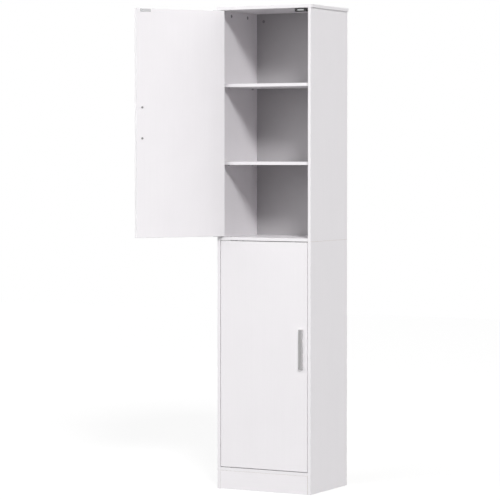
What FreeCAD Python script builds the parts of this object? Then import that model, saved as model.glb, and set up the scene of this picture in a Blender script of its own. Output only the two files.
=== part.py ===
import FreeCAD, Part
import os

# A tall, narrow bathroom cabinet that stands on the floor, in two sections one over the other.
# It is flat-pack furniture: 12 mm boards joined by cam fittings and dowels, thin backs in grooves,
# two shelves on pins in each section, and two 15 mm doors set in flush between the sides.
# Each door turns on a pair of small pivot hinges at its left end and closes on a magnetic catch.
# The upper door is modelled standing open, the lower one closed.
#
# Frame: X runs across the width, Y from the front edges (0) to the rear, Z up from the floor.
# The origin is the middle of the plinth's front edge, on the floor. Sizes are in millimetres.

V = FreeCAD.Vector
LEFT, RIGHT = V(-1, 0, 0), V(1, 0, 0)
FRONT, REAR = V(0, -1, 0), V(0, 1, 0)
DOWN, UP = V(0, 0, -1), V(0, 0, 1)

# Carcass
board = 12.0                    # every board of the carcass
door_board = 15.0
width = 392.0                   # over the two sides
depth = 305.0
lower_opening_height = 853.0    # clear height of the lower section
upper_opening_height = 847.0
plinth_height = 69.0
plinth_side_gap = 0.4           # at each end of the plinth
top_overhang = 4.0              # of the top panel, past each side
eased = 0.6                     # rounding on the boards' edges
door_eased = 1.0
nearly_parallel = 0.99          # cosine, for finding the edges that run one way

# Backs and shelves
back_board = 3.0
back_front = 292.0              # front face of the backs
groove_room = 0.2
groove_depth = 5.0
divider_groove_depth = 3.5      # the divider is grooved on both faces
back_engagement = 4.5
divider_engagement = 3.0
shelf_front = 20.0
shelf_rear = 290.0
shelf_side_gap = 1.0
shelf_undersides = (270.0, 560.5)   # above the floor of each section
pin_depths = (60.0, 250.0)
pin_radius = 2.5
pin_in_board = 8.0
pin_length = 16.0

# Doors and their gaps
side_gap = 2.2                  # door to side
end_gap = 2.4                   # door to the board over or under it
open_angle = 124.0              # how far each door swings

# Pivot hinges: a leaf let into the door's end, a leaf let into the board, and a pin between
pivot_from_edge = 4.5           # pin's axis to the door's hinge edge
pivot_from_front = 3.4          # pin's axis to the door's front face
leaf_thickness = 2.0
leaf_recess = 1.0
leaf_front = 0.9
leaf_width = 9.0
leaf_before_pin = 3.0
leaf_past_pin = 38.0
leaf_corner = 2.0
pivot_pin_radius = 1.5
pivot_clearance = 0.05
pivot_pin_tip = 0.8             # how far the pin's tip reaches below the board's face
shoulder_radius = 2.4
shoulder_height = 0.3
lower_leaf_holes = (12.0, 26.0)  # from the pin; staggered, so that leaves fit back to back
upper_leaf_holes = (19.0, 33.0)
leaf_screw_y = 5.6
leaf_screw_radius = 1.25
leaf_screw_head = 2.6
board_leaf_screw = 8.0
door_leaf_screw = 14.0

# Handles: a solid bar, a little narrower at the door than at its front
handle_length = 147.0
handle_depth = 14.0
handle_front_width = 12.6
handle_base_width = 10.6
handle_eased = 1.4
handle_from_edge = 24.0         # bar's centre line to the door's free edge
handle_screw_spacing = 114.0
handle_screw_radius = 1.95
handle_screw_length = 22.0
handle_hole_depth = 9.0
handle_hole_room = 0.3          # radial room of its screws in the door
handle_head_radius = 4.0
handle_head_height = 2.4
upper_handle_height = 1371.0    # middle of the bar, above the floor
lower_handle_height = 537.0

# Magnetic catches and their strike plates
catch_x = 144.0                 # middle of the catch and of its strike plate
catch_length = 47.0
catch_height = 13.0
catch_depth = 15.0
catch_front = 17.4
catch_pocket_length = 29.0
catch_pocket_height = 9.0
catch_pocket_depth = 12.0
catch_screw_offset = 19.0
catch_screw_radius = 1.6
catch_screw_head = 3.1
catch_screw_sink = 3.0
catch_screw_bite = 9.0
pole_length = 28.4
pole_thickness = 1.2
pole_front = 16.6
magnet_length = 26.0
magnet_thickness = 5.4
magnet_setback = 1.6
strike_length = 42.0
strike_height = 10.5
strike_thickness = 1.2
strike_below_top = 1.2
strike_screw_offset = 13.0
strike_screw_radius = 1.5
strike_screw_head = 2.7
strike_screw_length = 12.0

# Cam fittings and dowels
slip = 0.1                      # radial room of a fastener in its hole
cam_radius = 6.0
cam_height = 9.0
cam_setback = 18.0              # cam's axis to the joint
cam_bolt_level = 6.0            # bolt's axis to the cam's open face
cam_channel_radius = 3.3
cam_channel_overrun = 2.2
cam_slot_width = 1.2
cam_slot_length = 7.0
cam_slot_depth = 1.5
bolt_thread_radius = 3.0
bolt_thread_length = 9.0
bolt_shank_radius = 2.25
bolt_head_height = 3.0
hole_overrun = 0.5              # how much deeper a blind hole is than what it takes
cam_depths = (89.0, 216.0)
dowel_depths = (40.0, 265.0)
seam_dowel_depths = (60.0, 245.0)
dowel_radius = 3.0
dowel_in_face = 9.0
dowel_in_end = 15.0
plinth_dowel_heights = (20.0, 50.0)

# Angle brackets
bracket_leg = 20.0
bracket_width = 15.0
bracket_thickness = 1.5
bracket_hole = 13.0             # screw to the inside corner
bracket_screw_radius = 1.5
bracket_screw_head = 3.0
bracket_screw_length = 10.0
joining_bracket_depths = (125.0, 180.0)
plinth_bracket_x = 100.0

# Wall fixing, through the upper back near its top corners
wall_hole_x = 155.0
wall_hole_below_top = 28.5
wall_hole_radius = 2.75
wall_washer_radius = 6.0
wall_washer_thickness = 1.2

# Places that follow from these sizes
half_width = width / 2
inner_half = half_width - board
floor_level = plinth_height + board
divider_under = floor_level + lower_opening_height
divider_top = divider_under + board
top_under = divider_top + upper_opening_height
total_height = top_under + board
back_rear = back_front + back_board
door_left = -inner_half + side_gap
door_right = inner_half - side_gap
pivot_x = door_left + pivot_from_edge
pivot_y = pivot_from_front
section_floors = {"lower": floor_level, "upper": divider_top}


def block(x_range, y_range, z_range):
    """A square-edged block between three pairs of limits."""
    low = V(min(x_range), min(y_range), min(z_range))
    high = V(max(x_range), max(y_range), max(z_range))
    size = high - low
    return Part.makeBox(size.x, size.y, size.z, low)


def round_edges(shape, radius, directions):
    """Rounds the straight edges of a block that run along any of the directions."""
    chosen = []
    for edge in shape.Edges:
        along = edge.tangentAt(edge.FirstParameter)
        if any(abs(along.dot(way)) > nearly_parallel for way in directions):
            chosen.append(edge)
    return shape.makeFillet(radius, chosen)


def eased_block(x_range, y_range, z_range, radius, directions=(RIGHT, REAR, UP)):
    """A block with its edges along the given directions rounded."""
    return round_edges(block(x_range, y_range, z_range), radius, directions)


def rod(start, way, radius, length):
    """A round rod from start, along way."""
    return Part.makeCylinder(radius, length, start, way)


def joined(shapes):
    """Several overlapping shapes as one."""
    whole = shapes[0]
    for shape in shapes[1:]:
        whole = whole.fuse(shape)
    return whole.removeSplitter()


def group(shapes):
    """Several separate pieces kept together."""
    return Part.makeCompound(shapes)


def drilled(shape, tools):
    """The shape after every tool that reaches it has cut it."""
    for tool in tools:
        if shape.BoundBox.intersect(tool.BoundBox):
            shape = shape.cut(tool)
    return shape


def countersunk(face, way, head_radius, shank_radius, length, room=0.0):
    """A flat-head screw whose head is flush at face and which points along way.

    With some room it is the hole for the same screw.
    """
    head_height = head_radius - shank_radius
    head = Part.makeCone(head_radius + room, shank_radius + room, head_height, face, way)
    shank = rod(face, way, shank_radius + room, length + room)
    return joined([head, shank])


def capped_screw(seat, way, head_radius, head_height, shank_radius, length):
    """A screw with a raised head, which sits at seat and points along way."""
    head = rod(seat - way * head_height, way, head_radius, head_height)
    shank = rod(seat, way, shank_radius, length)
    return joined([head, shank])


# Cam fittings. Each joins the end of one board to the face of another. The seat is where the
# bolt's axis crosses the joint, thread_way leads into the board that takes the thread, and
# cam_way leads from the cam's open face into its board.

def cam_face(seat, thread_way, cam_way):
    """The middle of the cam's open face."""
    return seat - thread_way * cam_setback - cam_way * cam_bolt_level


def cam_channel(seat, thread_way):
    """The round way that the bolt's shank and head lie in."""
    start = seat - thread_way * (cam_setback + cam_channel_overrun)
    return rod(start, thread_way, cam_channel_radius, cam_setback + cam_channel_overrun)


def cam_lock(seat, thread_way, cam_way):
    """The round cam, open to the bolt's head, with a crossed slot for the driver."""
    face = cam_face(seat, thread_way, cam_way)
    cam = rod(face, cam_way, cam_radius, cam_height).cut(cam_channel(seat, thread_way))
    across = thread_way.cross(cam_way)
    for long_way, short_way in ((thread_way, across), (across, thread_way)):
        corner = long_way * (cam_slot_length / 2) + short_way * (cam_slot_width / 2)
        far = face + corner + cam_way * cam_slot_depth
        near = face - corner
        cam = cam.cut(block((near.x, far.x), (near.y, far.y), (near.z, far.z)))
    return cam


def cam_bolt(seat, thread_way):
    """The steel bolt: thread in one board, shank and head in the other."""
    thread = rod(seat, thread_way, bolt_thread_radius, bolt_thread_length)
    shank = rod(seat, -thread_way, bolt_shank_radius, cam_setback)
    head_start = seat - thread_way * (cam_setback + bolt_head_height / 2)
    head = rod(head_start, thread_way, bolt_thread_radius, bolt_head_height)
    return joined([thread, shank, head])


def cam_holes(seat, thread_way, cam_way):
    """What is drilled for one cam fitting, in both boards."""
    pocket_depth = cam_height + hole_overrun
    pocket = rod(cam_face(seat, thread_way, cam_way), cam_way, cam_radius + slip, pocket_depth)
    thread = rod(seat, thread_way, bolt_thread_radius + slip, bolt_thread_length + hole_overrun)
    return [pocket, cam_channel(seat, thread_way), thread]


def dowel(seat, way, room=0.0, overrun=0.0):
    """A dowel across a joint, its shorter end along way. With room it is the hole for it."""
    start = seat - way * (dowel_in_end + overrun)
    length = dowel_in_end + dowel_in_face + 2 * overrun
    return rod(start, way, dowel_radius + room, length)


def dowel_hole(seat, way):
    """The pair of holes that one dowel sits in."""
    return dowel(seat, way, slip, hole_overrun)


def bracket_holes_at(corner, legs):
    """For each leg: the middle of its hole on the leg's open face, and the screw's way."""
    places = []
    for along, other in (legs, legs[::-1]):
        places.append((corner + along * bracket_hole + other * bracket_thickness, -other))
    return places


def bracket(corner, legs):
    """A steel angle bracket with its inside corner's two legs along the given directions."""
    across = legs[0].cross(legs[1])
    plates = []
    for along, other in (legs, legs[::-1]):
        near = corner - across * (bracket_width / 2)
        far = corner + across * (bracket_width / 2) + along * bracket_leg
        far = far + other * bracket_thickness
        plates.append(block((near.x, far.x), (near.y, far.y), (near.z, far.z)))
    screw_holes = [bracket_screw(place, way, slip) for place, way in bracket_holes_at(corner, legs)]
    return drilled(joined(plates), screw_holes)


def bracket_screw(place, way, room=0.0):
    """A short flat-head screw of a bracket, or with room its hole."""
    return countersunk(place, way, bracket_screw_head, bracket_screw_radius,
                       bracket_screw_length, room)


# Pivot hinges. A hinge sits between a door's end and the board over or under it. The face is the
# height of that board's face, and out leads from that face into the opening.

def leaf(level, out, pin_hole_radius, screws):
    """A steel leaf: a rounded plate from level, along out, with its pin hole and screw holes."""
    x_range = (pivot_x - leaf_before_pin, pivot_x + leaf_past_pin)
    y_range = (leaf_front, leaf_front + leaf_width)
    z_range = (level, level + out.z * leaf_thickness)
    plate = eased_block(x_range, y_range, z_range, leaf_corner, (UP,))
    pin_hole = rod(V(pivot_x, pivot_y, level), out, pin_hole_radius, leaf_thickness)
    return drilled(plate, [pin_hole] + screws)


def leaf_screws(level, way, spots, length, room=0.0):
    """The flat-head screws of a leaf whose open face is at level, or with room their holes."""
    screws = []
    for spot in spots:
        place = V(pivot_x + spot, leaf_screw_y, level)
        screws.append(countersunk(place, way, leaf_screw_head, leaf_screw_radius, length, room))
    return screws


def pivot_hinge(face, out):
    """One hinge, as its pieces and the holes that they need.

    The board's leaf is sunk by the recess and stands proud by as much. The door's leaf is sunk
    in the door's end in the same way. The pin is riveted in the door's leaf and runs in the other.
    """
    spots = lower_leaf_holes if out.z > 0 else upper_leaf_holes
    proud = leaf_thickness - leaf_recess
    seat_low = face - out.z * leaf_recess
    seat_open = face + out.z * proud
    door_end = face + out.z * end_gap
    door_leaf_open = door_end - out.z * proud
    seat_screws = leaf_screws(seat_open, -out, spots, board_leaf_screw)
    seat_holes = leaf_screws(seat_open, -out, spots, board_leaf_screw, slip)
    door_screws = leaf_screws(door_leaf_open, out, spots, door_leaf_screw)
    door_holes = leaf_screws(door_leaf_open, out, spots, door_leaf_screw, slip)
    running_radius = pivot_pin_radius + pivot_clearance
    seat = leaf(seat_low, out, running_radius, seat_holes)
    door_leaf = leaf(door_leaf_open, out, pivot_pin_radius, door_holes)
    tip = V(pivot_x, pivot_y, face - out.z * pivot_pin_tip)
    pin_length = pivot_pin_tip + end_gap - proud + leaf_thickness
    shoulder_start = V(pivot_x, pivot_y, door_leaf_open - out.z * shoulder_height)
    pin = joined([
        rod(tip, out, pivot_pin_radius, pin_length),
        rod(shoulder_start, out, shoulder_radius, shoulder_height),
    ])
    leaf_x = (pivot_x - leaf_before_pin - slip, pivot_x + leaf_past_pin + slip)
    leaf_y = (leaf_front - slip, leaf_front + leaf_width + slip)
    board_recess = block(leaf_x, leaf_y, (seat_low, face + out.z * proud))
    door_recess = block(leaf_x, leaf_y, (door_end - out.z * proud, door_end + out.z * leaf_recess))
    return {
        "seat": seat,
        "seat_screws": seat_screws,
        "board_cuts": [board_recess] + seat_holes,
        "door_leaf": door_leaf,
        "door_screws": door_screws,
        "door_cuts": [door_recess] + door_holes,
        "pin": pin,
    }


# Magnetic catches. Each hangs under the board over its door, near the door's free edge.

def catch_case(under):
    """The plastic case, with a pocket for the magnet and two screw holes."""
    x_range = (catch_x - catch_length / 2, catch_x + catch_length / 2)
    y_range = (catch_front, catch_front + catch_depth)
    case = eased_block(x_range, y_range, (under - catch_height, under), eased, (UP, REAR))
    middle = under - catch_height / 2
    pocket_x = (catch_x - catch_pocket_length / 2, catch_x + catch_pocket_length / 2)
    pocket_z = (middle - catch_pocket_height / 2, middle + catch_pocket_height / 2)
    pocket = block(pocket_x, (catch_front, catch_front + catch_pocket_depth), pocket_z)
    tools = [pocket]
    for place in catch_screw_places(under):
        tools.append(rod(place, UP, catch_screw_radius + slip, catch_height))
        tools.append(rod(place, DOWN, catch_screw_head + slip, catch_screw_sink))
    return drilled(case, tools)


def catch_screw_places(under):
    """Where the catch's two screw heads sit."""
    level = under - catch_height + catch_screw_sink
    middle_y = catch_front + catch_depth / 2
    return [V(catch_x + side * catch_screw_offset, middle_y, level) for side in (-1, 1)]


def catch_screws(under):
    """The two screws that hold the catch up."""
    length = catch_height - catch_screw_sink + catch_screw_bite
    screws = []
    for place in catch_screw_places(under):
        screws.append(capped_screw(place, UP, catch_screw_head, catch_screw_sink - slip,
                                   catch_screw_radius, length))
    return screws


def catch_screw_holes(under):
    """Their holes in the board above."""
    holes = []
    for place in catch_screw_places(under):
        start = V(place.x, place.y, under)
        holes.append(rod(start, UP, catch_screw_radius + slip, catch_screw_bite + hole_overrun))
    return holes


def catch_magnet(under):
    """The magnet and the two steel pole plates that carry its pull to the front."""
    middle = under - catch_height / 2
    rear = catch_front + catch_pocket_depth - slip
    magnet_x = (catch_x - magnet_length / 2, catch_x + magnet_length / 2)
    half = magnet_thickness / 2
    pieces = [block(magnet_x, (pole_front + magnet_setback, rear), (middle - half, middle + half))]
    pole_x = (catch_x - pole_length / 2, catch_x + pole_length / 2)
    for side in (-1, 1):
        inner = middle + side * half
        pieces.append(block(pole_x, (pole_front, rear), (inner, inner + side * pole_thickness)))
    return pieces


def strike_screws(door_top, room=0.0):
    """The strike plate's two flat-head screws, or with room their holes."""
    level = door_top - strike_below_top - strike_height / 2
    screws = []
    for side in (-1, 1):
        place = V(catch_x + side * strike_screw_offset, door_board + strike_thickness, level)
        screws.append(countersunk(place, FRONT, strike_screw_head, strike_screw_radius,
                                  strike_screw_length, room))
    return screws


def strike_plate(door_top):
    """The steel plate on the door's inner face that the magnet holds."""
    top = door_top - strike_below_top
    x_range = (catch_x - strike_length / 2, catch_x + strike_length / 2)
    y_range = (door_board, door_board + strike_thickness)
    plate = eased_block(x_range, y_range, (top - strike_height, top), door_eased, (REAR,))
    return drilled(plate, strike_screws(door_top, slip))


# Handles

def handle_screw_places(height):
    """The height and place of the two handle screws' heads, on the door's inner face."""
    x = door_right - handle_from_edge
    half = handle_screw_spacing / 2
    return [V(x, door_board, height - half), V(x, door_board, height + half)]


def handle_bar(height):
    """The bar: a dovetail section along Z, its front edges and ends rounded, and two blind holes."""
    x = door_right - handle_from_edge
    low = height - handle_length / 2
    base = handle_base_width / 2
    front = handle_front_width / 2
    corners = [
        V(x - base, 0, low),
        V(x + base, 0, low),
        V(x + front, -handle_depth, low),
        V(x - front, -handle_depth, low),
    ]
    section = Part.Face(Part.makePolygon(corners + corners[:1]))
    bar = section.extrude(UP * handle_length)
    front_edges = [e for e in bar.Edges if e.BoundBox.YMax < -handle_depth / 2]
    bar = bar.makeFillet(handle_eased, front_edges)
    tools = []
    for place in handle_screw_places(height):
        start = V(place.x, 0, place.z)
        tools.append(rod(start, FRONT, handle_screw_radius + slip, handle_hole_depth))
    return drilled(bar, tools)


def door_with_fittings(height_range, handle_height, low_hinge, high_hinge):
    """One closed door and all that is fixed to it, by name."""
    low, high = height_range
    door = eased_block((door_left, door_right), (0, door_board), (low, high), door_eased)
    handle_places = handle_screw_places(handle_height)
    cuts = low_hinge["door_cuts"] + high_hinge["door_cuts"] + strike_screws(high, slip)
    screws = []
    for place in handle_places:
        cuts.append(rod(place, FRONT, handle_screw_radius + handle_hole_room, door_board))
        screws.append(capped_screw(place, FRONT, handle_head_radius, handle_head_height,
                                   handle_screw_radius, handle_screw_length))
    return {
        "door": drilled(door, cuts),
        "door_pivot_leaves": group([low_hinge["door_leaf"], high_hinge["door_leaf"]]),
        "door_pivot_pins": group([low_hinge["pin"], high_hinge["pin"]]),
        "door_pivot_screws": group(low_hinge["door_screws"] + high_hinge["door_screws"]),
        "handle": handle_bar(handle_height),
        "handle_screws": group(screws),
        "strike_plate": strike_plate(high),
        "strike_screws": group(strike_screws(high)),
    }


nodes = {}

# Hinges: one under and one over each door
hinges = {
    ("upper", "low"): pivot_hinge(divider_top, UP),
    ("upper", "high"): pivot_hinge(top_under, DOWN),
    ("lower", "low"): pivot_hinge(floor_level, UP),
    ("lower", "high"): pivot_hinge(divider_under, DOWN),
}
for section in ("upper", "lower"):
    pair = [hinges[section, "low"], hinges[section, "high"]]
    nodes[section + "_pivot_seats"] = group([hinge["seat"] for hinge in pair])
    nodes[section + "_pivot_seat_screws"] = group(pair[0]["seat_screws"] + pair[1]["seat_screws"])

# Catches
catch_levels = {"upper": top_under, "lower": divider_under}
for section, under in catch_levels.items():
    nodes[section + "_catch_case"] = catch_case(under)
    nodes[section + "_catch_magnet"] = group(catch_magnet(under))
    nodes[section + "_catch_screws"] = group(catch_screws(under))

# Cam fittings: top panel to sides, divider to sides, bottom panel to sides
side_middle = half_width - board / 2
cam_rows = {"top": [], "divider": [], "bottom": []}
dowel_rows = {"top": [], "divider": [], "bottom": [], "plinth": [], "seam": []}
for outward in (LEFT, RIGHT):
    for y in cam_depths:
        above = outward * side_middle + REAR * y + UP * top_under
        cam_rows["top"].append((above, UP, outward))
        for row, under in (("divider", divider_under), ("bottom", plinth_height)):
            beside = outward * inner_half + REAR * y + UP * (under + cam_bolt_level)
            cam_rows[row].append((beside, outward, UP))
    for y in dowel_depths:
        above = outward * side_middle + REAR * y + UP * top_under
        dowel_rows["top"].append((above, UP))
        for row, under in (("divider", divider_under), ("bottom", plinth_height)):
            beside = outward * inner_half + REAR * y + UP * (under + board / 2)
            dowel_rows[row].append((beside, outward))
    for y in seam_dowel_depths:
        dowel_rows["seam"].append((outward * side_middle + REAR * y + UP * divider_under, UP))
    for z in plinth_dowel_heights:
        beside = outward * inner_half + REAR * (board / 2) + UP * z
        dowel_rows["plinth"].append((beside, outward))

holes = []
for row, fittings in cam_rows.items():
    nodes[row + "_cam_locks"] = group([cam_lock(*fitting) for fitting in fittings])
    nodes[row + "_cam_bolts"] = group([cam_bolt(seat, way) for seat, way, _ in fittings])
    for fitting in fittings:
        holes += cam_holes(*fitting)
for row, places in dowel_rows.items():
    nodes[row + "_dowels"] = group([dowel(seat, way) for seat, way in places])
    holes += [dowel_hole(seat, way) for seat, way in places]

# Angle brackets: under the divider on each side, and behind the plinth
bracket_rows = {"joining": [], "plinth": []}
for outward in (LEFT, RIGHT):
    for y in joining_bracket_depths:
        corner = outward * inner_half + REAR * y + UP * divider_under
        bracket_rows["joining"].append((corner, (-outward, DOWN)))
    corner = outward * plinth_bracket_x + REAR * board + UP * plinth_height
    bracket_rows["plinth"].append((corner, (REAR, DOWN)))
for row, places in bracket_rows.items():
    nodes[row + "_brackets"] = group([bracket(*place) for place in places])
    screws = []
    for corner, legs in places:
        for place, way in bracket_holes_at(corner, legs):
            screws.append(bracket_screw(place, way))
            holes.append(bracket_screw(place, way, slip))
    nodes[row + "_bracket_screws"] = group(screws)

# Shelf pins, four under each shelf
for section, section_floor in section_floors.items():
    pins = []
    for outward in (LEFT, RIGHT):
        for underside in shelf_undersides:
            for y in pin_depths:
                level = section_floor + underside - pin_radius
                start = outward * (inner_half + pin_in_board) + REAR * y + UP * level
                pins.append(rod(start, -outward, pin_radius, pin_length))
                deep = pin_in_board + hole_overrun
                mouth = outward * inner_half + REAR * y + UP * level
                holes.append(rod(mouth, outward, pin_radius + slip, deep))
    nodes[section + "_shelf_pins"] = group(pins)

# What the hinges and catches need in the boards
for hinge in hinges.values():
    holes += hinge["board_cuts"]
for under in catch_levels.values():
    holes += catch_screw_holes(under)

# Grooves for the backs
groove_y = (back_front, back_rear + groove_room)
groove_half = inner_half + groove_depth
grooves = [
    block((-groove_half, groove_half), groove_y, (divider_top - divider_groove_depth,
                                                  top_under + groove_depth)),
    block((-groove_half, groove_half), groove_y, (floor_level - groove_depth,
                                                  divider_under + divider_groove_depth)),
]
cuts = holes + grooves

# Boards of the carcass
inner_width = (-inner_half, inner_half)
whole_depth = (0, depth)
top_width = (-half_width - top_overhang, half_width + top_overhang)
nodes["top_panel"] = drilled(eased_block(top_width, whole_depth, (top_under, total_height), eased), cuts)
for side, outward in (("left", -1), ("right", 1)):
    thickness = (outward * inner_half, outward * half_width)
    for section, low, high in (("upper", divider_under, top_under), ("lower", 0, divider_under)):
        panel = eased_block(thickness, whole_depth, (low, high), eased)
        nodes[section + "_side_" + side] = drilled(panel, cuts)
for name, low in (("divider_panel", divider_under), ("bottom_panel", plinth_height)):
    panel = eased_block(inner_width, whole_depth, (low, low + board), eased, (RIGHT, UP))
    nodes[name] = drilled(panel, cuts)

# The plinth's lower edges stay sharp, because it stands on them. Its dowels bridge the gaps at
# its ends
plinth_half = inner_half - plinth_side_gap
plinth = block((-plinth_half, plinth_half), (0, board), (0, plinth_height))
upper_edges = [edge for edge in plinth.Edges if edge.BoundBox.ZMax > 0 and edge.BoundBox.YLength < eased]
nodes["plinth"] = drilled(plinth.makeFillet(eased, upper_edges), cuts)

# Backs, let into the grooves, and the washers of the wall fixing
back_half = inner_half + back_engagement
back_levels = {
    "upper": (divider_top - divider_engagement, top_under + back_engagement),
    "lower": (floor_level - back_engagement, divider_under + divider_engagement),
}
wall_level = top_under - wall_hole_below_top
washer_front = back_front - wall_washer_thickness
wall_holes = []
washers = []
for side in (-1, 1):
    start = V(side * wall_hole_x, washer_front, wall_level)
    through = rod(start, REAR, wall_hole_radius, wall_washer_thickness + back_board)
    wall_holes.append(through)
    washers.append(rod(start, REAR, wall_washer_radius, wall_washer_thickness).cut(through))
nodes["wall_fixing_washers"] = group(washers)
for section, levels in back_levels.items():
    back = block((-back_half, back_half), (back_front, back_rear), levels)
    nodes[section + "_back_panel"] = drilled(back, wall_holes)

# Shelves
shelf_half = inner_half - shelf_side_gap
for section, section_floor in section_floors.items():
    for place, underside in zip(("low", "high"), shelf_undersides):
        low = section_floor + underside
        shelf = eased_block((-shelf_half, shelf_half), (shelf_front, shelf_rear), (low, low + board), eased)
        nodes[section + "_shelf_" + place] = shelf

# Doors. The upper one is turned open about its pins.
door_levels = {
    "upper": (divider_top + end_gap, top_under - end_gap),
    "lower": (floor_level + end_gap, divider_under - end_gap),
}
handle_heights = {"upper": upper_handle_height, "lower": lower_handle_height}
pivot = V(pivot_x, pivot_y, 0)
for section, levels in door_levels.items():
    pair = (hinges[section, "low"], hinges[section, "high"])
    fittings = door_with_fittings(levels, handle_heights[section], *pair)
    for name, shape in fittings.items():
        if section == "upper":
            shape = shape.copy()
            shape.rotate(pivot, UP, -open_angle)
        nodes[section + "_" + name] = shape

os.makedirs("parts", exist_ok=True)
for name, shape in nodes.items():
    if not shape.isValid():
        print("not valid:", name)
    shape.exportStep("parts/" + name + ".step")
print(len(nodes), "nodes; door pivot at", round(pivot_x, 3), round(pivot_y, 3))
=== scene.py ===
import math
import bpy
import numpy as np
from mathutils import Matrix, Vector


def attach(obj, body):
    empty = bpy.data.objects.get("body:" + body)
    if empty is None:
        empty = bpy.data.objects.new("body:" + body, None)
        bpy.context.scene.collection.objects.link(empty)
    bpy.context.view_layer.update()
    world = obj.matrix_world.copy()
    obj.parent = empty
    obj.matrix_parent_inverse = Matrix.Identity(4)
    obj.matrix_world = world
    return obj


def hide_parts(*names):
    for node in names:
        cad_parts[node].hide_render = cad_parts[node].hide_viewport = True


# The looks of a tall, narrow bathroom cabinet in white foil-faced board, put on in the order in
# which the cabinet goes together: boards and backs, the fittings that join them, shelves, the wall
# fixing, catches, hinges, and doors with their handles and strike plates. Places are in metres.
# X runs across the width, Y from the front edges (0) to the rear, and Z up from the floor.

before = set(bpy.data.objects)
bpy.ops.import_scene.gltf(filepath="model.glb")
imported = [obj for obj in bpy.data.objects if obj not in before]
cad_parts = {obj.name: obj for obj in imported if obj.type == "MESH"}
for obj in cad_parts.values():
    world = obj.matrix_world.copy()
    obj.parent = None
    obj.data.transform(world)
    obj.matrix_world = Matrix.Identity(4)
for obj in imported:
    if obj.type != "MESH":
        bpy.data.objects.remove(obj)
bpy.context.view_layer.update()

# The camera. It stands well back to the right of the front, at about two thirds of the cabinet's
# height, with a long lens, so that the cabinet's upright edges stay nearly parallel.
camera_place = (4.1087, -7.7156, 1.2526)
camera_turn = 28.366
camera_drop = 1.966
camera_lens = 169.75
camera_shift = -0.028
camera_sight = 200

camera = bpy.data.objects.new("camera", bpy.data.cameras.new("camera"))
camera.location = camera_place
camera.rotation_euler = (math.radians(90 - camera_drop), 0, math.radians(camera_turn))
camera.data.lens = camera_lens
camera.data.shift_y = camera_shift
camera.data.clip_end = camera_sight
bpy.context.scene.collection.objects.link(camera)
bpy.context.scene.camera = camera
bpy.context.scene.view_settings.view_transform = "Standard"


# The floor and the background. Both are white to the camera and in reflections. The floor keeps
# a share of its own light and shade there, so the cabinet's soft shadow stays on it.
floor_half = 9.0
floor_albedo = 0.28
floor_shade_share = 0.25
floor_glow = 0.80
world_light = 0.03


def put(tree, kind, feeds=(), **settings):
    """Adds a node. Feeds gives its inputs, by name or number, a value or the output to read."""
    made = tree.nodes.new(kind)
    for name, value in settings.items():
        setattr(made, name, value)
    for key, value in dict(feeds).items():
        if isinstance(value, bpy.types.NodeSocket):
            tree.links.new(value, made.inputs[key])
        else:
            made.inputs[key].default_value = value
    return made


def seen_directly(tree):
    """1 for what the camera sees, straight, in a reflection or through something clear."""
    path = put(tree, "ShaderNodeLightPath")
    either = put(tree, "ShaderNodeMath",
                 {0: path.outputs["Is Camera Ray"], 1: path.outputs["Is Glossy Ray"]},
                 operation="MAXIMUM")
    last = put(tree, "ShaderNodeMath",
               {0: either.outputs[0], 1: path.outputs["Is Transmission Ray"]},
               operation="MAXIMUM")
    return last.outputs[0]


floor_mesh = bpy.data.meshes.new("floor")
floor_corners = np.array([(-1, -1, 0), (1, -1, 0), (1, 1, 0), (-1, 1, 0)]) * floor_half
floor_mesh.from_pydata(floor_corners.tolist(), [], [(0, 1, 2, 3)])
floor = bpy.data.objects.new("floor", floor_mesh)
bpy.context.scene.collection.objects.link(floor)

floor_material = bpy.data.materials.new("floor")
floor_material.use_nodes = True
tree = floor_material.node_tree
tree.nodes.clear()
plain = put(tree, "ShaderNodeBsdfDiffuse", {"Color": (floor_albedo,) * 3 + (1,)})
shade = put(tree, "ShaderNodeBsdfDiffuse", {"Color": (floor_shade_share,) * 3 + (1,)})
glow = put(tree, "ShaderNodeEmission", {"Color": (1, 1, 1, 1), "Strength": floor_glow})
pale = put(tree, "ShaderNodeAddShader", {0: shade.outputs[0], 1: glow.outputs[0]})
choice = put(tree, "ShaderNodeMixShader",
             {0: seen_directly(tree), 1: plain.outputs[0], 2: pale.outputs[0]})
put(tree, "ShaderNodeOutputMaterial", {"Surface": choice.outputs[0]})
floor_mesh.materials.append(floor_material)

world = bpy.data.worlds.new("world")
bpy.context.scene.world = world
world.use_nodes = True
tree = world.node_tree
tree.nodes.clear()
ambient = put(tree, "ShaderNodeBackground", {"Color": (1, 1, 1, 1), "Strength": world_light})
backdrop = put(tree, "ShaderNodeBackground", {"Color": (1, 1, 1, 1), "Strength": 1.0})
choice = put(tree, "ShaderNodeMixShader",
             {0: seen_directly(tree), 1: ambient.outputs[0], 2: backdrop.outputs[0]})
put(tree, "ShaderNodeOutputWorld", {"Surface": choice.outputs[0]})


# The lamps: broad round softboxes, far enough off to light the cabinet evenly. The key comes from
# the front right and above, and throws the soft slanted shadows of the top and shelves on the
# inside. The others fill the left, the right and the rear.
lamp_distance = 26.0
lamp_aim = Vector((0.0, 0.0, 1.0))
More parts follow.
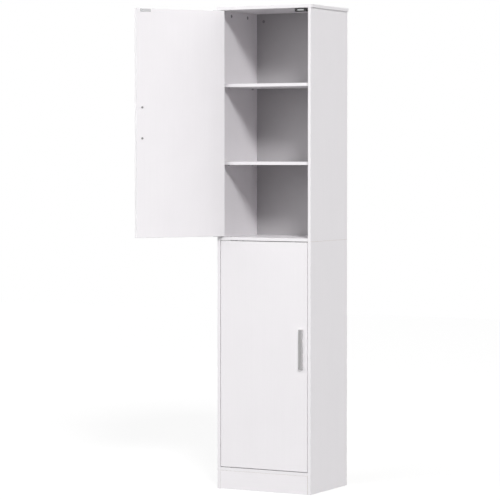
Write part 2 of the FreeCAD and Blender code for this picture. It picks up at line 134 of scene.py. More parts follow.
# Degrees round from the front towards the right, degrees up, light on a surface that faces the
# lamp, and degrees across the lamp.
lamps = {
    "key": (37.0, 34.5, 0.645, 12.0),
    "left_fill": (-27.0, 24.0, 0.735, 60.0),
    "right_fill": (98.0, 20.0, 0.468, 40.0),
    "rear_fill": (235.0, 15.0, 0.70, 50.0),
}
for lamp_name, (turn, height, light, spread) in lamps.items():
    lamp = bpy.data.objects.new(lamp_name, bpy.data.lights.new(lamp_name, "AREA"))
    lamp.data.shape = "DISK"
    lamp.data.size = 2 * lamp_distance * math.tan(math.radians(spread / 2))
    # A lamp of power P lights a white surface that faces it to P over (pi x distance) squared
    lamp.data.energy = light * (math.pi * lamp_distance) ** 2
    turn, height = math.radians(turn), math.radians(height)
    towards = Vector((math.sin(turn) * math.cos(height), -math.cos(turn) * math.cos(height),
                      math.sin(height)))
    lamp.location = lamp_aim + towards * lamp_distance
    lamp.rotation_euler = towards.to_track_quat("Z", "Y").to_euler()
    bpy.context.scene.collection.objects.link(lamp)


# The boards of the carcass: 12 mm particle board. The two broad faces of each carry a white satin
# foil with a fine embossed grain along the board, and the front edge has a glued white strip. The
# rear edges, the ends in the joints, the grooves and the holes are left raw, with chips showing.
foil_white = (0.830, 0.808, 0.829)
edging_white = (0.815, 0.795, 0.815)
worn_white = (0.66, 0.635, 0.62)
glue_line = (0.62, 0.60, 0.59)
chip_dark = (0.20, 0.12, 0.065)
chip_pale = (0.58, 0.42, 0.26)
chip_dust = (0.42, 0.30, 0.18)
foil_roughness = 0.40
edging_roughness = 0.33
raw_roughness = 0.92
edging_thickness = 0.0006
glue_thickness = 0.00015
end_strip_start = 0.1993    # only the top panel reaches past it, on both sides
door_pivot = (-0.1773, 0.0034)
foil_relief = 0.00006
foil_specular = 0.40
streak_size = (0.006, 0.006, 0.35)
streak_contrast = 0.034
pore_size = (0.0008, 0.0008, 0.022)
pore_darkening = -0.022
pore_roughness = 0.10
foil_cloud_size = (0.12, 0.12, 0.20)
chips_in_a_metre = (1300, 520, 330)
chip_height = 4.0
dust_size = (0.0006, 0.0006, 0.0006)
dust_share = 0.6
wear_size = (0.009, 0.009, 0.009)
wear_share = 0.30
wear_roughness = -0.08
strip_height = 0.2
broad_facing = 0.7
no_front_strip = -1.0
board_faces = {"side": ("X", "Y", "Z"), "level": ("Z", "Y", "X"), "plinth": ("Y", "Z", "X")}
side_boards = ["upper_side_left", "upper_side_right", "lower_side_left", "lower_side_right"]
level_boards = ["top_panel", "divider_panel", "bottom_panel"]


def new_group(name, inputs, outputs):
    """An empty node group with the named sockets; its tree, its inputs and its output node."""
    tree = bpy.data.node_groups.new(name, "ShaderNodeTree")
    for socket, kind in inputs.items():
        tree.interface.new_socket(socket, in_out="INPUT", socket_type="NodeSocket" + kind)
    for socket, kind in outputs.items():
        tree.interface.new_socket(socket, in_out="OUTPUT", socket_type="NodeSocket" + kind)
    return tree, put(tree, "NodeGroupInput").outputs, put(tree, "NodeGroupOutput")


def give(tree, out, **results):
    """Links results to a group's output sockets by name."""
    for name, result in results.items():
        tree.links.new(result, out.inputs[name])


def use_group(tree, group, **values):
    """Places a node group in a tree, with its inputs by name, and gives its outputs."""
    return put(tree, "ShaderNodeGroup", values, node_tree=group).outputs


def math_node(tree, operation, *values):
    """The result of a math node on values or sockets."""
    return put(tree, "ShaderNodeMath", enumerate(values), operation=operation).outputs[0]


def scaled(tree, vector, factor):
    """A vector or colour times one number."""
    return put(tree, "ShaderNodeVectorMath", {0: vector, "Scale": factor},
               operation="SCALE").outputs[0]


def noise(tree, place, size, detail=2.0, roughness=0.5):
    """Soft noise from 0 to 1, with features about as large as size, in metres along each axis."""
    fine = tuple(1 / length for length in size)
    at = put(tree, "ShaderNodeVectorMath", {0: place, 1: fine}, operation="MULTIPLY").outputs[0]
    return put(tree, "ShaderNodeTexNoise",
               {"Vector": at, "Scale": 1.0, "Detail": detail, "Roughness": roughness}).outputs[0]


def ramp(tree, value, low, high, start=0.0, end=1.0):
    """The value, clamped to low..high and scaled to start..end."""
    return put(tree, "ShaderNodeMapRange", {"Value": value, "From Min": low, "From Max": high,
                                            "To Min": start, "To Max": end}).outputs[0]


def blend_colours(tree, share, first, second):
    """The first colour where share is 0 and the second where it is 1."""
    colours = [side if isinstance(side, bpy.types.NodeSocket) else side + (1,)
               for side in (first, second)]
    return put(tree, "ShaderNodeMix", {0: share, 6: colours[0], 7: colours[1]},
               data_type="RGBA").outputs[2]


def blend_values(tree, share, first, second):
    """The first value where share is 0 and the second where it is 1."""
    return put(tree, "ShaderNodeMix", {0: share, 2: first, 3: second},
               data_type="FLOAT").outputs[0]


def new_material(name, **sockets):
    """A material with a Principled shader and these plain values on its sockets."""
    made = bpy.data.materials.new(name)
    made.use_nodes = True
    tree = made.node_tree
    tree.nodes.clear()
    plain = {socket.replace("_", " "): value for socket, value in sockets.items()}
    shader = put(tree, "ShaderNodeBsdfPrincipled", plain)
    put(tree, "ShaderNodeOutputMaterial", {"Surface": shader.outputs[0]})
    return made, tree, shader


def finish_shader(tree, shader, colour, roughness, height, depth):
    """Feeds a shader its colour, its roughness and a bump whose height is in units of depth."""
    tree.links.new(colour, shader.inputs["Base Color"])
    tree.links.new(roughness, shader.inputs["Roughness"])
    bump = put(tree, "ShaderNodeBump", {"Height": height, "Distance": depth, "Strength": 1.0})
    tree.links.new(bump.outputs[0], shader.inputs["Normal"])


def dress(nodes, material):
    """Gives CAD nodes a material in place of the plain one that they came with."""
    for name in nodes:
        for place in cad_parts[name].material_slots:
            place.material = material


# The foil's grain runs along Z of Place. Streaks are the pale and dark bands of its print, pores
# are short embossed lines, and clouds are large and faint.
foil_grain, given, out = new_group(
    "foil grain", {"Place": "Vector"}, {"Tone": "Float", "Rough": "Float", "Height": "Float"})
streaks = noise(foil_grain, given["Place"], streak_size, 4.0, 0.6)
pores = ramp(foil_grain, noise(foil_grain, given["Place"], pore_size), 0.58, 0.72)
clouds = noise(foil_grain, given["Place"], foil_cloud_size)
tone = math_node(foil_grain, "MULTIPLY_ADD", streaks, streak_contrast, 1 - streak_contrast / 2)
tone = math_node(foil_grain, "MULTIPLY_ADD", pores, pore_darkening, tone)
tone = math_node(foil_grain, "MULTIPLY", tone, ramp(foil_grain, clouds, 0.3, 0.7, 0.990, 1.008))
rough = ramp(foil_grain, clouds, 0.3, 0.7, -0.05, 0.07)
rough = math_node(foil_grain, "MULTIPLY_ADD", pores, pore_roughness, rough)
height = math_node(foil_grain, "SUBTRACT", math_node(foil_grain, "MULTIPLY", streaks, 0.5), pores)
give(foil_grain, out, Tone=tone, Rough=rough, Height=height)

# Raw particle board: chips pressed flat, thin along X of Place and long along its Z.
raw_chips, given, out = new_group(
    "raw chips", {"Place": "Vector"}, {"Colour": "Color", "Height": "Float"})
chip_places = put(raw_chips, "ShaderNodeVectorMath", {0: given["Place"], 1: chips_in_a_metre},
                  operation="MULTIPLY").outputs[0]
chips = put(raw_chips, "ShaderNodeTexVoronoi", {"Vector": chip_places, "Scale": 1.0})
shares = put(raw_chips, "ShaderNodeSeparateColor", {0: chips.outputs["Color"]}).outputs
dust = noise(raw_chips, given["Place"], dust_size, 3.0, 0.6)
wood = blend_colours(raw_chips, shares[0], chip_dark, chip_pale)
dusty = math_node(raw_chips, "MULTIPLY", dust, dust_share)
wood = blend_colours(raw_chips, dusty, wood, chip_dust)
give(raw_chips, out, Colour=wood, Height=math_node(raw_chips, "ADD", shares[1], dust))

# Wear along edges: where the surface turns from one flat face to the next, its normal lies along
# no axis. There, patches are rubbed.
edge_wear, given, out = new_group(
    "edge wear", {"Place": "Vector", "Normal": "Vector"}, {"Worn": "Float"})
sizes = put(edge_wear, "ShaderNodeVectorMath", {0: given["Normal"]}, operation="ABSOLUTE")
parts = put(edge_wear, "ShaderNodeSeparateXYZ", {0: sizes.outputs[0]}).outputs
largest = math_node(edge_wear, "MAXIMUM", math_node(edge_wear, "MAXIMUM", parts[0], parts[1]),
                    parts[2])
corner = ramp(edge_wear, largest, 0.90, 0.99, 1.0, 0.0)
patches = noise(edge_wear, given["Place"], wear_size, 4.0, 0.65)
patches = ramp(edge_wear, patches, 0.42, 0.62)
give(edge_wear, out, Worn=math_node(edge_wear, "MULTIPLY", corner, patches))


def shut_view(tree, turn):
    """A surface's place and normal, turned back about the door pivots from an open door's turn."""
    source = put(tree, "ShaderNodeTexCoord").outputs
    x, y = door_pivot
    shift = (x - math.cos(turn) * x + math.sin(turn) * y,
             y - math.sin(turn) * x - math.cos(turn) * y, 0)
    place = put(tree, "ShaderNodeMapping",
                {"Vector": source["Object"], "Rotation": (0, 0, turn), "Location": shift})
    normal = put(tree, "ShaderNodeMapping",
                 {"Vector": source["Normal"], "Rotation": (0, 0, turn)}, vector_type="VECTOR")
    return place.outputs[0], normal.outputs[0]


def board_material(name, order, front=0.0, edged_round=False, turn=0.0, edging=edging_white):
    """Foil on the two broad faces, white strips on edges and raw chips on what is left.

    Order names the axes through the board, across its grain and along its grain. A strip covers
    the front edge and the ends of the top panel, or all four edges of a door. The pattern of a
    door that stands open is turned back with it.
    """
    made, tree, shader = new_material(name, Specular_IOR_Level=foil_specular)
    place, normal = shut_view(tree, turn)
    axes = put(tree, "ShaderNodeSeparateXYZ", {0: place}).outputs
    own = put(tree, "ShaderNodeCombineXYZ", {i: axes[axis] for i, axis in enumerate(order)})
    grain = use_group(tree, foil_grain, Place=own.outputs[0])
    chips = use_group(tree, raw_chips, Place=own.outputs[0])
    worn = use_group(tree, edge_wear, Place=place, Normal=normal)["Worn"]
    facings = put(tree, "ShaderNodeSeparateXYZ", {0: normal}).outputs
    broad = math_node(tree, "GREATER_THAN", math_node(tree, "ABSOLUTE", facings[order[0]]),
                      broad_facing)
    edge = math_node(tree, "SUBTRACT", 1.0, broad)
    if edged_round:
        strip = edge
        glue = 0.0
        bare = 0.0
    else:
        at_front = math_node(tree, "LESS_THAN", axes["Y"], front + edging_thickness)
        at_end = math_node(tree, "GREATER_THAN", math_node(tree, "ABSOLUTE", axes["X"]),
                           end_strip_start)
        strip = math_node(tree, "MAXIMUM", at_front, at_end)
        near = math_node(tree, "LESS_THAN", axes["Y"], front + edging_thickness + glue_thickness)
        glue = math_node(tree, "SUBTRACT", near, at_front)
        bare = math_node(tree, "MULTIPLY", edge, math_node(tree, "SUBTRACT", 1.0, strip))
    colour = scaled(tree, foil_white, grain["Tone"])
    colour = blend_colours(tree, glue, colour, glue_line)
    colour = blend_colours(tree, strip, colour, edging)
    rubbed = math_node(tree, "MULTIPLY", worn, wear_share)
    colour = blend_colours(tree, rubbed, colour, worn_white)
    colour = blend_colours(tree, bare, colour, chips["Colour"])
    rough = math_node(tree, "ADD", grain["Rough"], foil_roughness)
    rough = blend_values(tree, strip, rough, edging_roughness)
    rough = math_node(tree, "MULTIPLY_ADD", worn, wear_roughness, rough)
    rough = blend_values(tree, bare, rough, raw_roughness)
    height = blend_values(tree, strip, grain["Height"], strip_height)
    rough_chips = math_node(tree, "MULTIPLY", chips["Height"], chip_height)
    height = blend_values(tree, bare, height, rough_chips)
    finish_shader(tree, shader, colour, rough, height, foil_relief)
    return made


dress(side_boards, board_material("foiled side board", board_faces["side"]))
dress(level_boards, board_material("foiled level board", board_faces["level"]))
dress(["plinth"], board_material("foiled plinth", board_faces["plinth"], front=no_front_strip))


# The backs: 3 mm hardboard that slides in the grooves. The front is printed matt grey-white, in a
# grey darker than the foil of the boards that is painted shade for the inside of the cabinet. The
# rear is bare brown fibre with the imprint of the mesh that it was pressed on.
# painted shade: the print's grey is darker than the foil to darken the inside of the cabinet
back_print_painted_shade = (0.42, 0.407, 0.42)
fibre_dark = (0.17, 0.095, 0.045)
fibre_pale = (0.30, 0.185, 0.095)
bare_rear = 0.2948
mesh_pitch = 0.0016
hardboard_relief = 0.00008
hardboard_cloud_size = (0.05, 0.05, 0.05)
fibre_size = (0.0012, 0.0012, 0.004)
fibre_roughness = 0.85
print_height = 0.3

made, tree, shader = new_material("hardboard back", Specular_IOR_Level=0.3)
place = put(tree, "ShaderNodeTexCoord").outputs["Object"]
axes = put(tree, "ShaderNodeSeparateXYZ", {0: place}).outputs
behind = math_node(tree, "GREATER_THAN", axes["Y"], bare_rear)
clouds = noise(tree, place, hardboard_cloud_size, 4.0, 0.6)
fibres = noise(tree, place, fibre_size, 3.0, 0.6)
# The printed grey carries the painted shade of the inside.
printed_and_shaded = scaled(tree, back_print_painted_shade, ramp(tree, clouds, 0.3, 0.7, 0.985, 1.01))
brown = blend_colours(tree, ramp(tree, fibres, 0.3, 0.7), fibre_dark, fibre_pale)
brown = blend_colours(tree, ramp(tree, clouds, 0.3, 0.7, 0.0, 0.5), brown, fibre_pale)
waves = [math_node(tree, "SINE", math_node(tree, "MULTIPLY", axes[axis], 2 * math.pi / mesh_pitch))
         for axis in ("X", "Z")]
imprint = math_node(tree, "MULTIPLY_ADD", waves[0], waves[1], fibres)
colour = blend_colours(tree, behind, printed_and_shaded, brown)
rough = blend_values(tree, behind, ramp(tree, fibres, 0.3, 0.7, 0.58, 0.68), fibre_roughness)
smooth = math_node(tree, "MULTIPLY", fibres, print_height)
height = blend_values(tree, behind, smooth, imprint)
finish_shader(tree, shader, colour, rough, height, hardboard_relief)
dress(["upper_back_panel", "lower_back_panel"], made)


# The dowels: beech, 6 mm thick, with flutes for the glue along them and tapered ends. They are
# pressed into holes across each joint and keep the boards from shifting.
dowel_radius = 0.003
dowel_flutes = 16
flute_depth = 0.00022
dowel_taper = 0.0012
dowel_end_share = 0.78
beech_pale = (0.62, 0.44, 0.27)
beech_dark = (0.45, 0.28, 0.15)
ray_size = (0.0022, 0.0006, 0.0006)
beech_relief = 0.00005
first_turn = 0.4
turn_step = 1.1
crease_angle = 40.0


def solids_of(node):
    """The corners of each separate solid of a CAD node.

    Corners at one place count as one. Each starts with a label of its own, and each triangle
    gives its corners the lowest of their labels, again and again until nothing changes.
    """
    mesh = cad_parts[node].data
    places = np.empty(len(mesh.vertices) * 3, np.float32)
    mesh.vertices.foreach_get("co", places)
    corners, which = np.unique(places.reshape(-1, 3).round(6), axis=0, return_inverse=True)
    mesh.calc_loop_triangles()
    triangles = np.empty(len(mesh.loop_triangles) * 3, np.int32)
    mesh.loop_triangles.foreach_get("vertices", triangles)
    triangles = which.ravel()[triangles].reshape(-1, 3)
    labels = np.arange(len(corners))
    changed = True
    while changed:
        fresh = labels.copy()
        np.minimum.at(fresh, triangles, labels[triangles].min(axis=1)[:, None])
        changed = bool((fresh != labels).any())
        labels = fresh
    return [corners[labels == label].astype(float) for label in np.unique(labels)]


def axis_of(corners):
    """Where a turned solid starts, its way and its length, from the end with its head.

    The corners spread alike in all directions square to the axis, so the axis is the one main
    direction whose spread differs from the other two. The head is at the end that the widest
    corners are nearer to.
    """
    middle = corners.mean(axis=0)
    spread, ways = np.linalg.eigh((corners - middle).T @ (corners - middle))
    way = ways[:, 2] if spread[2] - spread[1] > spread[1] - spread[0] else ways[:, 0]
    along = (corners - middle) @ way
    out = np.linalg.norm(corners - middle - along[:, None] * way, axis=1)
    wide = along[out > out.max() * 0.99]
    if wide.mean() > (along.min() + along.max()) / 2:
        way, along = -way, -along
    return middle + way * along.min(), way, float(np.ptp(along))


def turned(heights, radii):
    """A closed skin round the Z axis, as its corners and faces.

    Row i of heights and radii is ring i, with points evenly spaced round the axis: x is the
    radius times the angle's cosine and y is the radius times its sine. A middle point closes the
    first ring and the last.
    """
    rings, sides = radii.shape
    angles = np.linspace(0, 2 * math.pi, sides, endpoint=False)
    points = np.stack([radii * np.cos(angles), radii * np.sin(angles), heights], axis=-1)
    ends = [[0, 0, heights[0].mean()], [0, 0, heights[-1].mean()]]
    corners = np.vstack([points.reshape(-1, 3), ends])
    here = np.arange(rings * sides).reshape(rings, sides)
    beside = np.roll(here, -1, axis=1)
    walls = np.stack([here[:-1], beside[:-1], beside[1:], here[1:]], axis=-1).reshape(-1, 4)
    middle = np.full(sides, rings * sides)
    near = np.stack([middle, beside[0], here[0]], axis=-1)
    far = np.stack([middle + 1, here[-1], beside[-1]], axis=-1)
    return corners, [walls, near, far]


def spun(outline, sides):
    """The closed skin of an outline, a list of height and radius, spun round the Z axis."""
    rings = np.repeat(np.array(outline)[:, :, None], sides, axis=2)
    return turned(rings[:, 0], rings[:, 1])


def copies(shape, axes):
    """One shape made along +Z from the origin, copied to each start and way.

    Each copy is turned a little further about its own axis than the one before.
    """
    corners, faces = shape
    all_corners, all_faces = [], []
    for index, (start, way, _) in enumerate(axes):
        across = np.cross(way, (0, 0, 1) if abs(way[2]) < 0.9 else (1, 0, 0))
        across = across / np.linalg.norm(across)
        other = np.cross(way, across)
        turn = first_turn + turn_step * index
        across, other = (across * math.cos(turn) + other * math.sin(turn),
                         other * math.cos(turn) - across * math.sin(turn))
        all_corners.append(corners @ np.stack([across, other, way]) + start)
        all_faces += [part + index * len(corners) for part in faces]
    return np.vstack(all_corners), all_faces


def piece(name, shape, material, body, node):
    """A new piece from corners and faces, which rides on a body and stands for a CAD node."""
    corners, faces = shape
    mesh = bpy.data.meshes.new(name)
    mesh.from_pydata(corners.tolist(), [], [face for part in faces for face in part.tolist()])
    mesh.polygons.foreach_set("use_smooth", np.ones(len(mesh.polygons), bool))
    mesh.set_sharp_from_angle(angle=math.radians(crease_angle))
    mesh.materials.append(material)
    made = bpy.data.objects.new(name, mesh)
    bpy.context.scene.collection.objects.link(made)
    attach(made, body)
    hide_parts(node)


def dowel_shape(length):
    """A fluted dowel: its radius dips in a wave round it, and shrinks in a curve to both ends."""
    sides = dowel_flutes * 4
    end = np.linspace(0, dowel_taper, 4)
    stations = np.concatenate([end, np.linspace(2 * dowel_taper, length - 2 * dowel_taper, 3),
                               length - end[::-1]])
    to_end = np.clip(np.minimum(stations, length - stations) / dowel_taper, 0, 1)
    taper = dowel_end_share + (1 - dowel_end_share) * np.sqrt(to_end * (2 - to_end))
    angles = np.linspace(0, 2 * math.pi, sides, endpoint=False)
    flutes = flute_depth * (0.5 - 0.5 * np.cos(dowel_flutes * angles))
    radii = dowel_radius * taper[:, None] - flutes[None, :]
    return turned(np.repeat(stations[:, None], sides, axis=1), radii)


beech, tree, shader = new_material("beech dowel", Specular_IOR_Level=0.35)
place = put(tree, "ShaderNodeTexCoord").outputs["Object"]
rays = noise(tree, place, ray_size, 3.0, 0.6)
colour = blend_colours(tree, ramp(tree, rays, 0.3, 0.7), beech_pale, beech_dark)
finish_shader(tree, shader, colour, ramp(tree, rays, 0.3, 0.7, 0.55, 0.75), rays, beech_relief)
for joint in ("top", "divider", "bottom", "plinth", "seam"):
    node = joint + "_dowels"
    axes = [axis_of(solid) for solid in solids_of(node)]
    piece("fluted_" + node, copies(dowel_shape(axes[0][2]), axes), beech, "carcass",
          node)


# The cam locks: die-cast zinc drums in round pockets. Each draws the head of its bolt towards it
# when it is turned with a screwdriver, and so pulls the two boards together.
zinc_grey = (0.36, 0.36, 0.375)
zinc_relief = 0.00004
zinc_grain_size = (0.0007, 0.0007, 0.0007)
zinc_blotch_size = (0.004, 0.004, 0.004)

zinc, tree, shader = new_material("die-cast zinc", Metallic=1.0)
place = put(tree, "ShaderNodeTexCoord").outputs["Object"]
grains = noise(tree, place, zinc_grain_size, 3.0, 0.6)
blotches = noise(tree, place, zinc_blotch_size)
colour = scaled(tree, zinc_grey, ramp(tree, blotches, 0.3, 0.7, 0.8, 1.1))
finish_shader(tree, shader, colour, ramp(tree, grains, 0.3, 0.7, 0.42, 0.62), grains, zinc_relief)
dress([joint + "_cam_locks" for joint in ("top", "divider", "bottom")], zinc)


# The cam bolts: turned steel with a round head for the cam, a plain shank and a coarse thread
# that is screwed into the neighbouring board. Like most of the small steel parts they are zinc
# plated, which is bright, a little cloudy, and finely scratched from the tumbler.
plated_grey = (0.52, 0.52, 0.535)
plating_relief = 0.000012
thread_cut = 0.30
thread_rings = 4
thread_point = 0.12
scratch_roughness = 0.18
bolt_head_radius, bolt_neck_radius, bolt_thread_radius = 0.003, 0.00225, 0.003
bolt_head_height, bolt_thread_start = 0.003, 0.0195
bolt_neck_end = 0.0191
bolt_pitch = 0.0018
bolt_tip = 0.002
bolt_sides = 32
plating_cloud_size = (0.003, 0.003, 0.003)
scratch_size = (0.0002, 0.004, 0.0002)

plating, given, out = new_group(
    "zinc plating", {"Place": "Vector"}, {"Tone": "Float", "Rough": "Float", "Height": "Float"})
clouds = noise(plating, given["Place"], plating_cloud_size, 3.0, 0.6)
scratches = noise(plating, given["Place"], scratch_size)
rough = ramp(plating, clouds, 0.3, 0.7, 0.16, 0.30)
rough = math_node(plating, "MULTIPLY_ADD", scratches, scratch_roughness, rough)
give(plating, out, Tone=ramp(plating, clouds, 0.3, 0.7, 0.86, 1.08), Rough=rough,
     Height=scratches)


def steel_material(name, grey):
    """Plated steel of a given grey."""
    made, tree, shader = new_material(name, Metallic=1.0)
    finish = use_group(tree, plating, Place=put(tree, "ShaderNodeTexCoord").outputs["Object"])
    finish_shader(tree, shader, scaled(tree, grey, finish["Tone"]), finish["Rough"],
                  finish["Height"], plating_relief)
    return made


def thread(start, length, radius, pitch, tip, sides):
    """The rings of a thread from start to length, four of them in each pitch.

    The radius falls below its full value by a ridge and valley that climb one pitch in each turn
    round the axis. Over the tip it shrinks in a straight line, nearly to a point.
    """
    count = int(thread_rings * (length - start) / pitch)
    stations = np.linspace(start, length, count)[:, None]
    turns = np.linspace(0, 1, sides, endpoint=False)[None, :]
    climb = (stations / pitch - turns) % 1.0
    valley = 1 - abs(2 * climb - 1)
    near_head = np.clip((stations - start) / pitch, 0, 1)
    radii = radius * (1 - thread_cut * valley * near_head)
    radii = radii * np.clip((length - stations) / tip, thread_point, 1)
    return np.repeat(stations, sides, axis=1), radii


def cam_bolt_shape(length):
    """A cam bolt: a round head with broken corners, a plain neck and a coarse thread."""
    outline = np.array([
        (0.0, bolt_head_radius * 0.55),
        (0.0, bolt_head_radius * 0.85),
        (bolt_head_height * 0.12, bolt_head_radius),
        (bolt_head_height * 0.85, bolt_head_radius),
        (bolt_head_height, bolt_neck_radius),
        (bolt_neck_end, bolt_neck_radius),
    ])
    plain = np.repeat(outline[:, :, None], bolt_sides, axis=2)
    heights, radii = thread(bolt_thread_start, length, bolt_thread_radius, bolt_pitch, bolt_tip,
                            bolt_sides)
    return turned(np.vstack([plain[:, 0], heights]), np.vstack([plain[:, 1], radii]))


plated_steel = steel_material("plated steel", plated_grey)
for joint in ("top", "divider", "bottom"):
    node = joint + "_cam_bolts"
    axes = [axis_of(solid) for solid in solids_of(node)]
    piece("threaded_" + node, copies(cam_bolt_shape(axes[0][2]), axes), plated_steel, "carcass",
          node)


# The angle brackets: pressed from 1.5 mm zinc-plated sheet. Two join each lower side to the
# divider, and two hold the plinth under the bottom, each with two short cross-head screws.
sheet_grey = (0.50, 0.50, 0.515)
screw_sides = 48
recess_share = 0.62
recess_arm = 0.17
recess_depth = 0.75
recess_slope = 0.07
recess_end_slope = 0.35
head_rings = 11
crown_reach = 0.98
broken_corner = 0.00005
least_rim = 0.00003
neck_length = 0.0002
wood_thread = {"pitch": 0.0012, "tip": 0.0026}
bracket_screw = {"head_radius": 0.003, "head_height": 0.0015, "rim": 0.1, "crown": 0.0,
                 "neck_radius": 0.0015, **wood_thread}


def screw_shape(head_radius, head_height, rim, crown, neck_radius, length, pitch, tip):
    """A cross-head screw, as a skin round its axis, with the top of its head at 0.

    The top is a disc that falls by the crown's height in a part of a circle. The rim is straight
    from there to its own share of the head's height, and the head then narrows to the neck. A
    point of the top is in the cross where it is nearer to an arm's middle line than the arm's
    half width. There it is sunk, most in the middle and less towards the arm's end.
    """
    angles = np.linspace(0, 2 * math.pi, screw_sides, endpoint=False)[None, :]
    spread = np.linspace(0.05, 1.0, head_rings)[:, None]
    fall = crown * (1 - np.sqrt(1 - (crown_reach * spread) ** 2))
    sideways = spread * np.minimum(abs(np.sin(angles)), abs(np.cos(angles)))
    outwards = spread * np.maximum(abs(np.sin(angles)), abs(np.cos(angles)))
    inside = np.clip((recess_arm - sideways) / recess_slope, 0, 1)
    inside = inside * np.clip((recess_share - outwards) / recess_end_slope, 0, 1)
    top_heights = fall + recess_depth * head_height * inside
    top_radii = np.repeat(head_radius * spread, screw_sides, axis=1)
    lip = fall[-1, 0] + broken_corner
    under = np.array([(lip, head_radius),
                      (max(lip, rim * head_height) + least_rim, head_radius),
                      (head_height + broken_corner, neck_radius)])
    under = np.repeat(under[:, :, None], screw_sides, axis=2)
    heights, radii = thread(head_height + neck_length, length, neck_radius, pitch, tip,
                            screw_sides)
    return turned(np.vstack([top_heights, under[:, 0], heights]),
                  np.vstack([top_radii, under[:, 1], radii]))


def screws(node, body, sizes, material=plated_steel):
    """Threaded screws of the given sizes in place of a CAD node's plain ones."""
    axes = [axis_of(solid) for solid in solids_of(node)]
    shape = screw_shape(length=axes[0][2], **sizes)
    piece("threaded_" + node, copies(shape, axes), material, body, node)


sheet_steel = steel_material("plated sheet steel", sheet_grey)
for place in ("joining", "plinth"):
    dress([place + "_brackets"], sheet_steel)
    screws(place + "_bracket_screws", "carcass", bracket_screw)


# The shelves: the same foiled board on steel pins, two at each end, in blind holes in the sides.
# A pin is a turned rod with a broken corner in the board, a groove at its face and a round end.
pin_radius = 0.0025
pin_in_board = 0.008
pin_groove = 0.0002
pin_end = 0.0015
pin_end_angle = 1.35
pin_sides = 32
shelf_front = 0.020
shelves = ["upper_shelf_low", "upper_shelf_high", "lower_shelf_low", "lower_shelf_high"]

dress(shelves, board_material("foiled shelf", board_faces["level"], front=shelf_front))
for section in ("upper", "lower"):
    node = section + "_shelf_pins"
    axes = []
    for solid in solids_of(node):
        start, way, length = axis_of(solid)
        if way[0] * start[0] > 0:
            start, way = start + way * length, -way
        axes.append((start, way, length))
    length = axes[0][2]
    round_end = [(length - pin_end * (1 - math.sin(angle)), pin_radius * math.cos(angle))
                 for angle in np.linspace(0, pin_end_angle, 7)]
    outline = [
        (0.0, pin_radius * 0.8),
        (pin_radius * 0.2, pin_radius),
        (pin_in_board - pin_groove, pin_radius),
        (pin_in_board, pin_radius - pin_groove),
        (pin_in_board + pin_groove, pin_radius - pin_groove),
        (pin_in_board + 2 * pin_groove, pin_radius),
    ] + round_end
    piece("rounded_" + node, copies(spun(outline, pin_sides), axes), plated_steel, "carcass",
          node)


# The wall fixing: two holes near the top corners of the upper back, each with a dark steel
# washer for the wall screw's head. Until the screw goes in, a domed cap is pressed in each. The
# steel is darkened, and dark enough to be painted shade: the washers and the handle screws show
# as dark spots, and the hinge leaves darken the gap line where they sit.
# painted shade: a dark grey for the steel parts that are to read as shade
dark_grey_painted_shade = (0.27, 0.268, 0.27)
washer_radius = 0.006
washer_bevel = 0.0002
cap_radius = 0.0036
cap_edge = 0.0003
cap_stem_radius = 0.0027
cap_stem_length = 0.002
cap_stem_point = (0.0026, 0.00189)
cap_angle = 1.45
cap_sides = 48

dark_steel_painted_shade = steel_material("darkened steel, painted shade", dark_grey_painted_shade)
axes = []
for solid in solids_of("wall_fixing_washers"):
    start, way, thickness = axis_of(solid)
    face = start if way[1] > 0 else start + way * thickness
    axes.append((face, np.array([0.0, 1.0, 0.0]), thickness))
dome = [(cap_edge * (1 - math.sin(angle)), cap_radius * math.cos(angle))
        for angle in np.linspace(cap_angle, 0.0, 6)]
outline = dome + [
    (cap_edge + washer_bevel, cap_radius),
    (cap_edge + washer_bevel, washer_radius - washer_bevel),
    (cap_edge + 2 * washer_bevel, washer_radius),
    (thickness - washer_bevel, washer_radius),
    (thickness, washer_radius - washer_bevel),
    (thickness, cap_stem_radius),
    (thickness + cap_stem_length, cap_stem_radius),
    (thickness + cap_stem_point[0], cap_stem_point[1]),
]
piece("capped_wall_fixing_washers", copies(spun(outline, cap_sides), axes), dark_steel_painted_shade,
      "carcass", "wall_fixing_washers")


# The magnetic catches: a black moulded case hangs under the board over each door on two screws.
# In its pocket, a nickel-plated magnet lies between two plates, which grip the door's plate. The
# plates are coloured near black as painted shade.
case_black = (0.020, 0.020, 0.021)
case_relief = 0.00005
magnet_plate = (0.21, 0.21, 0.213)
# painted shade: the near-black colour of the two plates beside the magnet
pole_painted_shade_grey = (0.03, 0.03, 0.031)
case_worn = (0.06, 0.06, 0.062)
case_wear_share = 0.5
case_grain_size = (0.0005, 0.0005, 0.0005)
case_smear_size = (0.006, 0.006, 0.006)
magnet_half = 0.0027
catch_screw = {"head_radius": 0.0031, "head_height": 0.0029, "rim": 0.8, "crown": 0.0009,
               "neck_radius": 0.0016, **wood_thread}
catch_middles = {"upper": 1.7865, "lower": 0.9275}

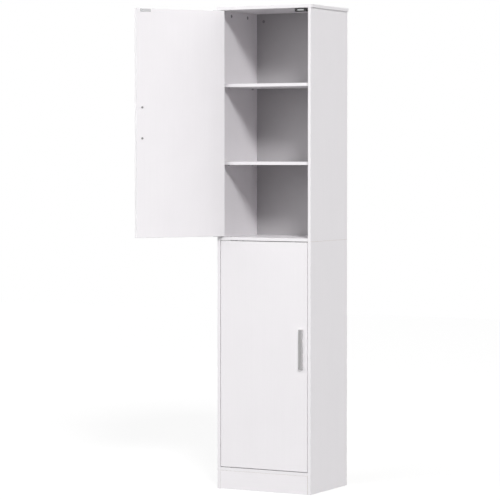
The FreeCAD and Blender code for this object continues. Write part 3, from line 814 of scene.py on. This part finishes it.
plastic, tree, shader = new_material("moulded black plastic", Specular_IOR_Level=0.45)
source = put(tree, "ShaderNodeTexCoord").outputs
texture = noise(tree, source["Object"], case_grain_size, 2.0, 0.6)
smears = noise(tree, source["Object"], case_smear_size, 3.0, 0.6)
worn = use_group(tree, edge_wear, Place=source["Object"], Normal=source["Normal"])["Worn"]
colour = scaled(tree, case_black, ramp(tree, smears, 0.3, 0.7, 0.8, 1.5))
rubbed = math_node(tree, "MULTIPLY", worn, case_wear_share)
colour = blend_colours(tree, rubbed, colour, case_worn)
finish_shader(tree, shader, colour, ramp(tree, smears, 0.3, 0.7, 0.42, 0.56), texture, case_relief)
for section, middle in catch_middles.items():
    dress([section + "_catch_case"], plastic)
    magnet, tree, shader = new_material(section + " magnet and plates", Metallic=1.0)
    place = put(tree, "ShaderNodeTexCoord").outputs["Object"]
    level = put(tree, "ShaderNodeSeparateXYZ", {0: place}).outputs["Z"]
    off_middle = math_node(tree, "ABSOLUTE", math_node(tree, "SUBTRACT", level, middle))
    # The plates above and below the magnet get the near-black painted shade.
    pole = math_node(tree, "GREATER_THAN", off_middle, magnet_half)
    finish = use_group(tree, plating, Place=place)
    colour = scaled(tree, blend_colours(tree, pole, magnet_plate, pole_painted_shade_grey), finish["Tone"])
    finish_shader(tree, shader, colour, finish["Rough"], finish["Height"], plating_relief)
    dress([section + "_catch_magnet"], magnet)
    screws(section + "_catch_screws", "carcass", catch_screw)


# The pivot hinges: at each end of a door, a dark steel leaf is let into the door and another
# into the board, and a riveted steel pin joins them. Cross-head screws hold the leaves. The dark
# steel of the leaves is painted shade that darkens the gap line at the hinges.
leaf_screw = {"head_radius": 0.0026, "head_height": 0.00135, "rim": 0.1, "crown": 0.0,
              "neck_radius": 0.00125, **wood_thread}

for section in ("upper", "lower"):
    door_body = section + "_door_set"
    dress([section + "_pivot_seats", section + "_door_pivot_leaves",
           section + "_door_pivot_pins"], dark_steel_painted_shade)
    screws(section + "_pivot_seat_screws", "carcass", leaf_screw, dark_steel_painted_shade)
    screws(section + "_door_pivot_screws", door_body, leaf_screw, dark_steel_painted_shade)


# The doors: 15 mm boards with the same foil on both faces, its grain upright, and white strips
# round all four edges, painted paler than the carcass's strips as painted light on the narrow
# edges. The upper one stands open on its hinges and the lower one is shut.
# painted light: the door strips are paler than the carcass's so the narrow edges look lit
door_edging_painted_light = (0.905, 0.885, 0.905)
door_faces = ("Y", "X", "Z")
door_turns = {"upper": math.radians(124.0), "lower": 0.0}

for section, turn in door_turns.items():
    dress([section + "_door"],
          board_material("foiled " + section + " door", door_faces, edged_round=True, turn=turn,
                         edging=door_edging_painted_light))


# The handles: solid bars of die-cast zinc, plated a satin nickel and brushed along their length.
# Their front face is painted darker and their sides lighter, as painted shade and painted light.
# Two machine screws through the door hold each, and their domed heads show on its inner face.
# Painted shade and painted light: the front face is coloured a dark nickel and the sides a light
# one.
nickel_front_painted_shade = (0.215, 0.212, 0.214)
nickel_side_painted_light = (0.545, 0.540, 0.542)
nickel_worn = (0.60, 0.59, 0.58)
nickel_wear_share = 0.4
brush_relief = 0.00002
brush_size = (0.0003, 0.0003, 0.05)
band_size = (0.003, 0.003, 0.09)
handle_screw = {"head_radius": 0.004, "head_height": 0.0024, "rim": 0.75, "crown": 0.0010,
                "neck_radius": 0.00195, "pitch": 0.0007, "tip": 0.0008}

for section, turn in door_turns.items():
    satin_nickel, tree, shader = new_material(section + " handle satin nickel", Metallic=1.0)
    place, normal = shut_view(tree, turn)
    brushing = noise(tree, place, brush_size, 3.0, 0.6)
    bands = noise(tree, place, band_size)
    worn = use_group(tree, edge_wear, Place=place, Normal=normal)["Worn"]
    facing = put(tree, "ShaderNodeSeparateXYZ", {0: normal}).outputs["Y"]
    # The front is painted shade and the sides painted light, chosen by which way the face looks.
    colour = blend_colours(tree, ramp(tree, facing, -0.95, -0.5), nickel_front_painted_shade, nickel_side_painted_light)
    colour = scaled(tree, colour, ramp(tree, bands, 0.3, 0.7, 0.95, 1.05))
    rubbed = math_node(tree, "MULTIPLY", worn, nickel_wear_share)
    colour = blend_colours(tree, rubbed, colour, nickel_worn)
    finish_shader(tree, shader, colour, ramp(tree, brushing, 0.3, 0.7, 0.32, 0.44), brushing,
                  brush_relief)
    dress([section + "_handle"], satin_nickel)
    # Painted shade: the handle screws' heads are dark steel, so that they show as dark spots.
    screws(section + "_handle_screws", section + "_door_set", handle_screw, dark_steel_painted_shade)


# The strike plates: pressed steel plates screwed to the inner face of each door near its top
# free corner, where the magnet takes hold of them. Their plating is thin and has gone dull.
strike_grey = (0.33, 0.33, 0.335)
strike_screw = {"head_radius": 0.0027, "head_height": 0.0012, "rim": 0.1, "crown": 0.0,
                "neck_radius": 0.0015, **wood_thread}

dull_steel = steel_material("dull plated steel", strike_grey)
for section in ("upper", "lower"):
    dress([section + "_strike_plate"], dull_steel)
    screws(section + "_strike_screws", section + "_door_set", strike_screw, dull_steel)
